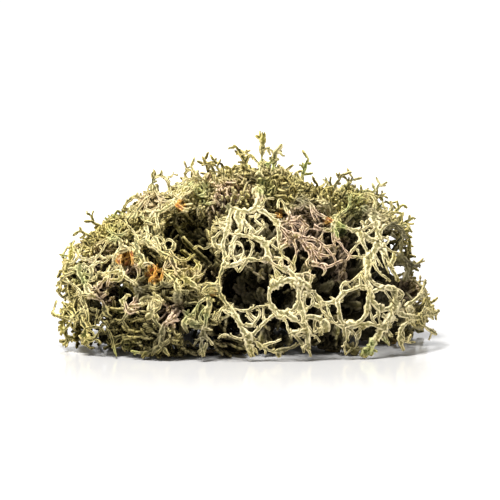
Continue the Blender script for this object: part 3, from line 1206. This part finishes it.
def lace_nubs(root):
    """Gives a lace strap its side nubs, now left and now right, and foliage behind it near the ends."""
    side = chance.choice((-1, 1))
    wait = chance.randint(2, 5)
    tips = []
    for section in all_sections(root):
        wait -= 1
        if wait > 0 or len(section.kids) != 1:
            continue
        wait = chance.randint(3, 6)
        side = -side
        if abs(section.at.x) > LACE_ENDS and chance.random() < LEAFY_SHARE:
            along = chance.uniform(-0.2, 0.7) * math.copysign(1.0, section.at.x)
            inwards = Vector((along, 1.0, chance.uniform(-0.4, 0.5))).normalized()
            leafy = next_section(section, inwards, BOUGH_WIDTHS[0])
            tips.append(Tip(leafy, HABITS["bough"], chance.randint(12, 28), 2))
            continue
        heading = turned(section.heading, section.facing, side * chance.uniform(50, 80))
        nub = next_section(section, heading, NUB_WIDTH)
        tips.append(Tip(nub, HABITS["sprig"], chance.randint(0, 2), 1))
    return tips


# The highest and farthest sprigs of the outline: where each ends, across and height in millimetres.
SPRIG_ENDS = (
    (-51.4, 38.7), (-47.7, 41.6), (-44.6, 40.2), (-19.1, 55.9), (-16.8, 58.4), (-13.0, 61.2), (-10.6, 59.4),
    (-7.7, 60.0), (-5.0, 58.4), (12.8, 57.9), (15.8, 57.2), (19.3, 60.8), (18.2, 57.6), (22.6, 53.8),
    (25.4, 53.0), (29.9, 56.3), (33.4, 55.8), (37.3, 51.4), (42.2, 53.8), (41.6, 50.2), (43.6, 48.0),
    (45.8, 46.2), (49.1, 46.9), (52.4, 43.0), (49.5, 40.8), (53.2, 28.1), (54.8, 21.0), (57.6, 16.6),
    (-57.2, 18.0), (-46.0, 4.6),
)
SPRIG_LENGTH = 7.0
SPRIG_WIDTH = 1.15
SPRIG_THINNING = 0.03           # share of its width lost with each step
SPRIG_NARROWEST = 0.85
SPRIG_FORK_WIDTH = 0.9
FEET_FROM, FEET_TO = 0.5, 0.97  # a sprig's foot stands between these fullnesses


def grow_sprig(end, tree, owners):
    """Grows a sprig from the nearest strap out to its end, with side forks that face the camera."""
    inward = (HEART - end).normalized()
    inward.y = 0.0
    _, index, _ = tree.find(end + inward.normalized() * SPRIG_LENGTH)
    section = owners[index]
    facing = Vector((chance.uniform(-0.4, 0.4), -1.0, chance.uniform(-0.2, 0.4)))
    steps = max(3, round((end - section.at).length / SECTION_STEP))
    side = chance.choice((-1, 1))
    forks = []
    for step in range(steps):
        heading = (end - section.at).normalized() + any_direction() * 0.22
        heading = (heading + section.heading * 0.3).normalized()
        width = max(SPRIG_NARROWEST, SPRIG_WIDTH * (1.0 - SPRIG_THINNING * step))
        section = next_section(section, heading, width)
        section.facing = (facing - heading * facing.dot(heading)).normalized()
        if step % 2 == 1 or step == steps - 1:
            side = -side
            turn = side * chance.uniform(42, 70)
            branch = next_section(section, turned(heading, section.facing, turn), SPRIG_FORK_WIDTH)
            branch.facing = section.facing.copy()
            forks.append(Tip(branch, HABITS["sprig"], chance.randint(1, 4), chance.randint(1, 2)))
    return forks


def outline_sprigs():
    """The sprigs of the outline, each started from the strap nearest to its foot."""
    owners = [
        section
        for roots in trees.values()
        for root in roots
        for section in all_sections(root)
        if len(section.kids) < 2 and FEET_FROM < fullness(section.at) < FEET_TO
    ]
    tree = search_tree([section.at for section in owners])
    forks = []
    for across, height in SPRIG_ENDS:
        depth = MIDDLE_PLANE + chance.uniform(-7, 5)
        end = Vector((across, depth, height_above_floor(height, depth)))
        forks.extend(grow_sprig(end, tree, owners))
    return forks


tips = []
for name in LACE:
    trees[name].extend(bridges(trees[name]))
for name in limb_names:
    for root in trees[name]:
        if name in LACE:
            tips.extend(lace_nubs(root))
        else:
            facing_out(root)
            even_widths(root)
for name in limb_names:
    if name not in LACE:
        tips.extend(sprouts(trees[name][0]))
print("tips at the start:", len(tips))
print("steps grown:", grow(tips))
print("steps in the outline's sprigs:", grow(outline_sprigs()))
print("sections in all:", section_count())

# %% [markdown]
# ## From skeleton to strap
#
# A strap starts as one row of two edges: left rim, hollow middle, right rim. Extruding that row from
# section to section draws the whole ribbon. At a fork the row is cut finer and each half goes its own
# way, so the two forks stay joined in a rounded armpit, as they are on the real thallus. A Solidify
# modifier gives the ribbon its thickness at the end.

# %% Tones of each place
# Patches of old, stained, mossy or shaded thallus on the front: across, height and radius in
# millimetres, tone, strength.
PATCHES = (
    (18.0, 38.0, 8.5, "old", 1.0), (25.0, 33.0, 7.5, "old", 1.0), (29.0, 27.5, 5.0, "old", 0.8),
    (-22.0, 13.5, 4.5, "old", 0.8), (-44.0, 20.0, 4.0, "old", 0.5), (3.0, 50.0, 4.0, "old", 0.5),
    (-36.0, 30.2, 2.9, "rust", 1.0), (-27.3, 25.5, 3.0, "rust", 1.0), (-34.0, 26.5, 2.4, "old", 1.0),
    (-42.0, 20.0, 4.5, "old", 0.8), (-34.0, 16.0, 3.0, "old", 0.7), (-29.0, 47.0, 5.0, "old", 0.5),
    (10.4, 43.6, 1.6, "rust", 1.0), (25.0, 41.6, 1.5, "rust", 0.8), (-9.6, 19.6, 1.6, "rust", 0.6),
    (-19.6, 46.4, 2.0, "rust", 0.7),
    (28.4, 38.6, 2.4, "green", 1.0), (-28.0, 52.0, 4.0, "green", 0.4), (6.0, 52.0, 4.0, "green", 0.6),
    (33.0, 46.0, 5.0, "green", 0.6), (-13.0, 50.0, 4.5, "green", 0.6), (-15.0, 13.0, 5.0, "green", 0.6),
    (-50.0, 25.0, 4.0, "green", 0.6), (46.0, 8.0, 4.0, "green", 0.35), (-40.0, 38.0, 4.0, "green", 0.5),
    (-40.0, 9.0, 6.0, "deep", 0.65), (-28.0, 6.0, 6.0, "deep", 0.75), (-15.0, 6.0, 5.0, "deep", 0.8),
    (-44.0, 16.0, 3.5, "deep", 0.6), (-31.0, 20.5, 3.0, "deep", 0.85), (-19.0, 17.0, 4.0, "deep", 0.8),
    (-24.0, 21.0, 2.5, "deep", 0.8), (13.0, 3.5, 3.5, "deep", 0.7), (33.0, 3.5, 3.0, "deep", 0.7),
    (2.0, 54.0, 2.0, "deep", 0.7), (-6.0, 46.0, 2.5, "deep", 0.6), (17.0, 47.0, 3.0, "deep", 0.6),
    (37.0, 44.0, 2.5, "deep", 0.6), (-20.0, 41.0, 3.0, "deep", 0.6), (30.0, 49.0, 2.0, "deep", 0.6),
)
# Where the thallus is bleached to cream: across, height, radius.
BLEACHED = ((2.0, 36.0, 13.0), (10.0, 16.0, 15.0), (24.0, 14.0, 15.0), (38.0, 14.0, 14.0), (38.0, 38.0, 11.0),
            (0.0, 12.0, 9.0), (20.0, 42.0, 9.0))


PATCH_END = 1.25            # a patch fades to nothing at this share of its radius,
PATCH_FADE = 0.6            # over this share of it


def near(point, across, height, radius):
    """1 in the middle of a round patch on the front, 0 at its edge."""
    distance = math.hypot(point.x - across, seen_height(point) - height)
    return max(0.0, min(1.0, (radius * PATCH_END - distance) / (radius * PATCH_FADE)))


OLD_SHIFT, GREEN_SHIFT = Vector((7, 1, 3)), Vector((2, 8, 5))   # sets the two clouds of tone apart
DEEP_STARTS, DEEP_FADE = 0.92, 0.28     # straps darken inwards from this closeness, over this much
FEET_HEIGHT = 2.6           # millimetres in which the feet turn ochre
FEET_STAIN = 0.55
TYPICAL_BLEACH = 0.26       # how bleached a strap is, give or take the swing and the speckle
BLEACH_SWING = 0.7
SPECKLE = 0.25
NET_BLEACH = 0.12           # the net at the front is bleached this much more
LOW_DARKNESS = 0.9          # how dark the foliage is where it meets the floor


def tones_at(point, is_net):
    """The tones of a section: bleached, old, rust, green and deep, each from 0 to 1."""
    front = point.y < 0
    speckle = SPECKLE * noise.noise(point * 0.16)
    bleached = max(0.0, TYPICAL_BLEACH + speckle + BLEACH_SWING * noise.noise(point * 0.05))
    if front:
        bleached = max([bleached] + [near(point, *spot) * (0.75 + speckle) for spot in BLEACHED])
        if is_net:
            bleached = min(1.0, bleached + NET_BLEACH)
    old = max(0.0, 1.6 * noise.noise(point * 0.055 + OLD_SHIFT) - 0.35)
    green = max(0.0, 1.4 * noise.noise(point * 0.07 + GREEN_SHIFT) - 0.15)
    tones = {"old": old, "rust": 0.0, "green": green, "deep": 0.0}
    if front:
        for across, height, radius, tone, strength in PATCHES:
            tones[tone] = max(tones[tone], near(point, across, height, radius) * strength)
    low = max(0.0, 1.0 - point.z / FEET_HEIGHT)
    tones["rust"] = max(tones["rust"], FEET_STAIN * low)
    inside = min(1.0, (DEEP_STARTS - closeness(point)) / DEEP_FADE)
    deep = max(tones["deep"], inside * (1.0 - 0.7 * tones["rust"]))
    if not is_net and abs(point.x) < END_STARTS:
        deep = max(deep, LOW_DARKNESS * (1.0 - point.z / LOW))
    return bleached, tones["old"], tones["rust"], tones["green"], deep


# %% Ribbons
TONE_NAMES = ("bleached", "old", "rust", "green", "deep")
STRAP_THICKNESS = 0.66
TIP_THICKNESS = 0.42
END_WIDTH = 0.72            # a strap's end is rounded off to this share of its width
RIM_RISE, MOST_RISE = 0.16, 0.45        # rims stand up by this share of the width, up to so much
RAGGED_NET, RAGGED_BOUGH = 0.36, 0.24   # how unevenly the rims run
LOWEST_RIM = 0.4            # millimetres above the floor, so that the strap's thickness clears it
THIN_WIDTH, STOUT_RANGE = 0.9, 1.2      # straps from this width on grow thicker, over this range


TIP_REACH = 6.0             # millimetres


def mark_tips(root):
    """Gives each section its nearness to a strap's end: 1 at the end, falling to 0 in TIP_REACH."""
    for section in reversed(all_sections(root)):
        if not section.kids:
            section.tip = 1.0
        else:
            section.tip = max(0.0, max(kid.tip for kid in section.kids) - SECTION_STEP / TIP_REACH)


def push_rows(ribbon, rows):
    """Extrudes rows of joined vertices all at once and returns the new rows in the same order."""
    edges = [ribbon.edges.get((a, b)) for row in rows for a, b in zip(row, row[1:])]
    made = bmesh.ops.extrude_edge_only(ribbon, edges=edges)["geom"]
    fresh = {part for part in made if isinstance(part, bmesh.types.BMVert)}
    return [
        [
            next(edge.other_vert(vert) for edge in vert.link_edges if edge.other_vert(vert) in fresh)
            for vert in row
        ]
        for row in rows
    ]


def finer_row(ribbon, row):
    """Cuts each edge of a row of three in two, for a fork, and returns the row of five."""
    new_row = [row[0]]
    for a, b in zip(row, row[1:]):
        edge = ribbon.edges.get((a, b))
        _, cut = bmesh.utils.edge_split(edge, a, 0.5)
        new_row += [cut, b]
    return new_row


class Ribbon:
    """Draws one limb's whole tree as a ribbon with its tones stored on its vertices."""

    def __init__(self, is_net, blackened=0.0):
        self.mesh = bmesh.new()
        self.blackened = blackened
        self.rim = self.mesh.verts.layers.float.new("rim")
        self.tip = self.mesh.verts.layers.float.new("tip")
        self.tones = [self.mesh.verts.layers.float.new(name) for name in TONE_NAMES]
        self.weight = self.mesh.verts.layers.deform.verify()
        self.is_net = is_net

    def place(self, row, section):
        """Sets a row of three vertices to a section: rims at the sides, raised over the middle."""
        across = section.heading.cross(section.facing).normalized()
        width = section.width * (END_WIDTH if not section.kids else 1.0)
        raised = min(RIM_RISE * width, MOST_RISE)
        ragged = RAGGED_NET if self.is_net else RAGGED_BOUGH
        tones = list(tones_at(section.at, self.is_net))
        tones[-1] = max(tones[-1], self.blackened)
        for vert, side in zip(row, (-1, 0, 1)):
            wobble = 1.0 + ragged * chance.uniform(-1, 1)
            lift = raised * (0.5 if side else -0.5)
            vert.co = section.at + across * (side * width * 0.5 * wobble) + section.facing * lift
            vert.co.z = max(vert.co.z, LOWEST_RIM)
            vert[self.rim] = float(abs(side))
            vert[self.tip] = section.tip
            for layer, value in zip(self.tones, tones):
                vert[layer] = value
            vert[self.weight][0] = max(0.0, min(1.0, (section.width - THIN_WIDTH) / STOUT_RANGE))

    def draw(self, root):
        """Draws a tree from its root out, all its growing rows one step at a time."""
        row = [self.mesh.verts.new(root.at) for _ in range(3)]
        for a, b in zip(row, row[1:]):
            self.mesh.edges.new((a, b))
        self.place(row, root)
        front = [(row, root)]
        while front:
            singles_and_lefts, rights = [], []
            for row, section in front:
                if len(section.kids) == 1:
                    singles_and_lefts.append((row, section.kids[0]))
                elif len(section.kids) == 2:
                    across = section.heading.cross(section.facing)
                    left, right = sorted(section.kids, key=lambda kid: (kid.at - section.at).dot(across))
                    five = finer_row(self.mesh, row)
                    singles_and_lefts.append((five[:3], left))
                    rights.append((five[2:], right))
            front = []
            for group in (singles_and_lefts, rights):
                if group:
                    new_rows = push_rows(self.mesh, [row for row, _ in group])
                    for new_row, (_, kid) in zip(new_rows, group):
                        self.place(new_row, kid)
                        front.append((new_row, kid))

    def finished(self, name, material):
        """The ribbon as an object in metres, with its thickness."""
        bmesh.ops.scale(self.mesh, vec=(MM, MM, MM), verts=self.mesh.verts[:])
        bmesh.ops.recalc_face_normals(self.mesh, faces=self.mesh.faces[:])
        mesh = bpy.data.meshes.new(name)
        self.mesh.to_mesh(mesh)
        self.mesh.free()
        mesh.shade_smooth()
        mesh.materials.append(material)
        thing = bpy.data.objects.new(name, mesh)
        bpy.context.scene.collection.objects.link(thing)
        thing.vertex_groups.new(name="stoutness")
        wall = thing.modifiers.new("thickness", "SOLIDIFY")
        wall.thickness = STRAP_THICKNESS * MM
        wall.offset = 0.0
        wall.vertex_group = "stoutness"
        wall.thickness_vertex_group = TIP_THICKNESS / STRAP_THICKNESS
        return thing


# %% [markdown]
# ## The look of the thallus
#
# The upper side of each strap is grey-green where it grew in the light, its rims are cream, and old
# parts are bleached, browned or stained with rust. The shader reads the tones stored on the ribbon's
# vertices and breaks them up with fine noise, so no picture is needed.

# %% Shader maths written as Python
class Value:
    """A socket in a node tree; sums, differences and products of it add Math nodes."""

    def __init__(self, tree, socket):
        self.tree = tree
        self.socket = socket

    def node(self, kind, settings=None, output=0, **inputs):
        """Adds a node: its settings first, then its sockets set or linked by name or place."""
        made = self.tree.nodes.new(kind)
        for name, value in (settings or {}).items():
            setattr(made, name, value)
        for name, value in inputs.items():
            key = int(name[1:]) if name[1:].isdigit() else name.replace("_", " ")
            target = made.inputs[key]
            if isinstance(value, Value):
                self.tree.links.new(value.socket, target)
            else:
                target.default_value = value
        return Value(self.tree, made.outputs[output])

    def maths(self, operation, first, second=0.0, clamp=False):
        """Adds a Math node."""
        settings = {"operation": operation, "use_clamp": clamp}
        return self.node("ShaderNodeMath", settings, i0=first, i1=second)

    def __add__(self, other):
        return self.maths("ADD", self, other)

    def __radd__(self, other):
        return self.maths("ADD", other, self)

    def __sub__(self, other):
        return self.maths("SUBTRACT", self, other)

    def __rsub__(self, other):
        return self.maths("SUBTRACT", other, self)

    def __mul__(self, other):
        return self.maths("MULTIPLY", self, other)

    def __rmul__(self, other):
        return self.maths("MULTIPLY", other, self)

    def held(self):
        """The value kept between 0 and 1."""
        return self.maths("ADD", self, 0.0, clamp=True)

    def blend(self, first, second):
        """A colour between two colours by this share."""
        return self.node("ShaderNodeMix", {"data_type": "RGBA"}, output=2, i0=self, i6=first, i7=second)


def colour(red, green, blue):
    """A colour with full cover."""
    return (red, green, blue, 1.0)


# %% The thallus material
OLIVE = colour(0.105, 0.105, 0.014)
OLIVE_DARK = colour(0.026, 0.026, 0.003)
YELLOW_OLIVE = colour(0.24, 0.185, 0.018)
GREY_GREEN = colour(0.17, 0.19, 0.075)
OLIVE_RIM = colour(0.68, 0.57, 0.22)
CREAM = colour(0.25, 0.22, 0.095)
CREAM_RIM = colour(0.84, 0.73, 0.44)
OLD = colour(0.085, 0.038, 0.017)
OLD_RIM = colour(0.74, 0.53, 0.39)
RUST = colour(0.20, 0.040, 0.003)
AMBER = colour(0.58, 0.26, 0.02)
MOSS = colour(0.045, 0.075, 0.006)
MOSS_RIM = colour(0.42, 0.46, 0.15)
SHADE = colour(0.010, 0.0075, 0.0015)
TIP_GOLD = colour(0.40, 0.30, 0.06)


MOTTLING, GRAIN, FINE_GRAIN, BROAD_PATCHES, WIDE_PATCHES = 260.0, 1100.0, 2400.0, 75.0, 38.0   # per metre


def thallus_material(name):
    """Straps coloured by their stored tones, which clouds of several sizes break up."""
    material = bpy.data.materials.new(name)
    material.use_nodes = True
    tree = material.node_tree
    surface = tree.nodes["Principled BSDF"]
    start = Value(tree, None)
    place = start.node("ShaderNodeTexCoord", output=3)

    def stored(tone):
        """A tone stored on the ribbon's vertices."""
        return start.node("ShaderNodeAttribute", {"attribute_name": tone}, output=2)

    def cloud(scale):
        """Soft noise between 0 and 1."""
        return start.node("ShaderNodeTexNoise", i0=place, Scale=scale, Detail=3.0)

    def above(share, floor, gain):
        """The part of a share that rises above a floor, made steeper."""
        return ((share - floor) * gain).held()

    mottling = cloud(MOTTLING)
    grain = cloud(GRAIN)
    fine = cloud(FINE_GRAIN)
    broad = cloud(BROAD_PATCHES)
    wide = cloud(WIDE_PATCHES)
    rim = above(stored("rim") + (mottling - 0.5) * 0.7 + (grain - 0.5) * 0.6, 0.42, 2.8)
    bleached = above(stored("bleached") + (mottling - 0.5) * 1.1, 0.15, 1.25)
    # The living thallus: olive that turns dark, yellow or grey-green from place to place.
    olive = above(broad, 0.46, 6.0).blend(OLIVE_DARK, OLIVE)
    olive = (above(wide, 0.52, 8.0) * 0.75).blend(olive, YELLOW_OLIVE)
    olive = (above(1.0 - wide, 0.55, 8.0) * 0.70).blend(olive, GREY_GREEN)
    # Bleached straps are cream, and all straps have paler rims than middles.
    middle = bleached.blend(olive, CREAM)
    edge = bleached.blend(OLIVE_RIM, CREAM_RIM)
    tint = rim.blend(middle, edge)
    # Old, mossy and stained places lie over that, then the golden tips.
    old = above(stored("old") + (mottling - 0.5) * 0.8, 0.30, 2.2)
    tint = (old * 0.88).blend(tint, rim.blend(OLD, OLD_RIM))
    moss = rim.blend(MOSS, MOSS_RIM)
    tint = (above(stored("green") + (mottling - 0.5), 0.35, 2.5) * 0.85).blend(tint, moss)
    stain = above(mottling + rim * 0.35, 0.58, 5.0).blend(RUST, AMBER)
    tint = (above(stored("rust") + (mottling - 0.5) * 1.1, 0.34, 2.4) * 0.9).blend(tint, stain)
    tint = (above(stored("tip"), 0.65, 2.2) * 0.35).blend(tint, TIP_GOLD)
    # Grains of the rim's colour and of shade roughen the surface, and the inside is dark.
    tint = (above(grain, 0.55, 7.0) * 0.42).blend(tint, edge)
    tint = (above(1.0 - grain, 0.52, 7.0) * 0.58).blend(tint, SHADE)
    tint = (stored("deep") * 0.94).blend(tint, SHADE)
    tree.links.new(tint.socket, surface.inputs["Base Color"])
    roughness = 0.55 + fine * 0.3
    tree.links.new(roughness.socket, surface.inputs["Roughness"])
    height = fine * 0.3 + grain * 0.7
    relief = start.node("ShaderNodeBump", Strength=0.6, Distance=0.0004, Height=height)
    tree.links.new(relief.socket, surface.inputs["Normal"])
    surface.inputs["Specular IOR Level"].default_value = 0.15
    return material


thallus = thallus_material("thallus")

# %% The pieces
SLOTS = {"dark_strap": "blackened_strap", "left_foot": "ochre_strap", "brown_fan": "brown_strap",
         "hollow_rim": "brown_strap"}
BLACKENED = {"dark_strap": 0.85}
OLIVE_NETS = ("apex_sprig", "left_arc", "left_sprig", "right_sprig", "amber_frame", "left_web")


def slot_of(name):
    """The material slot of a limb."""
    if name in SLOTS:
        return SLOTS[name]
    if name.startswith("bough") or name in OLIVE_NETS:
        return "olive_strap"
    return "pale_strap"


pieces = []
for name in limb_names:
    ribbon = Ribbon(is_net=name in LACE, blackened=BLACKENED.get(name, 0.0))
    for root in trees[name]:
        mark_tips(root)
        ribbon.draw(root)
    piece = ribbon.finished(name + "_thallus", thallus)
    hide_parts(name)
    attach(piece, "root")
    slot_of(name)
    pieces.append(piece)
print("pieces:", len(pieces), "faces before thickness:", sum(len(piece.data.polygons) for piece in pieces))

# %% [markdown]
# ## Floor and light
#
# The clump stands on a plain pale floor that turns to white around it, like a sweep of paper. A large
# soft light shines from above, a little from the left and the front, so the gaps between the straps
# stay dark. A weaker light fills the shadows from the right.

# %% Floor and white surroundings
FLOOR_HALF = 6.0            # metres
BACKDROP_RADIUS = 5.5
BLACK, WHITE = colour(0.0, 0.0, 0.0), colour(1.0, 1.0, 1.0)


def staged(name, shape):
    """Turns a bmesh into an object of the stage, and returns it with its new material's tree."""
    mesh = bpy.data.meshes.new(name)
    shape.to_mesh(mesh)
    shape.free()
    thing = bpy.data.objects.new(name, mesh)
    bpy.context.scene.collection.objects.link(thing)
    material = bpy.data.materials.new(name)
    material.use_nodes = True
    mesh.materials.append(material)
    return thing, material.node_tree


sheet = bmesh.new()
bmesh.ops.create_grid(sheet, x_segments=1, y_segments=1, size=FLOOR_HALF)
floor, paper = staged("floor", sheet)
paper_surface = paper.nodes["Principled BSDF"]
paper_surface.inputs["Base Color"].default_value = colour(0.64, 0.63, 0.62)
paper_surface.inputs["Roughness"].default_value = 0.14
sheet_place = Value(paper, None).node("ShaderNodeTexCoord", output=3)
from_clump = sheet_place.node("ShaderNodeVectorMath", {"operation": "LENGTH"}, output=1, i0=sheet_place)
# The sheet turns to pure white away from the clump, and stays dark in the shade under it.
near_glow = ((from_clump - 0.045) * 16.0).held() * 0.12
far_glow = ((from_clump - 0.07) * 2.2).held() * 0.88
brightness = (near_glow + far_glow).blend(BLACK, WHITE)
paper.links.new(brightness.socket, paper_surface.inputs["Emission Color"])
paper_surface.inputs["Emission Strength"].default_value = 1.0

sky_shell = bmesh.new()
bmesh.ops.create_icosphere(sky_shell, subdivisions=4, radius=BACKDROP_RADIUS)
backdrop, glow = staged("backdrop", sky_shell)
glow_surface = glow.nodes["Principled BSDF"]
glow_surface.inputs["Base Color"].default_value = BLACK
glow_surface.inputs["Emission Color"].default_value = WHITE
glow_surface.inputs["Emission Strength"].default_value = 1.0
backdrop.visible_diffuse = False        # it is only seen: the world and the lamps light the clump
backdrop.visible_shadow = False
print("stage:", floor.name, backdrop.name)


# %% Lights
def add_light(name, power, size, place):
    """A square soft light at a place in metres, turned to the middle of the clump."""
    lamp = bpy.data.lights.new(name, "AREA")
    lamp.energy = power
    lamp.size = size
    thing = bpy.data.objects.new(name, lamp)
    thing.location = place
    thing.rotation_euler = (Vector((0.0, 0.0, 0.03)) - Vector(place)).to_track_quat("-Z", "Y").to_euler()
    bpy.context.scene.collection.objects.link(thing)
    print("light:", name, power, "W")


add_light("softbox above", power=16.8, size=0.24, place=(-0.22, -0.26, 0.85))
add_light("fill right", power=1.2, size=0.6, place=(0.8, -0.5, 0.35))
world = bpy.data.worlds.new("white surroundings")
world.use_nodes = True
world.node_tree.nodes["Background"].inputs["Color"].default_value = WHITE
world.node_tree.nodes["Background"].inputs["Strength"].default_value = 0.24
bpy.context.scene.world = world
bpy.context.scene.view_settings.view_transform = "Standard"
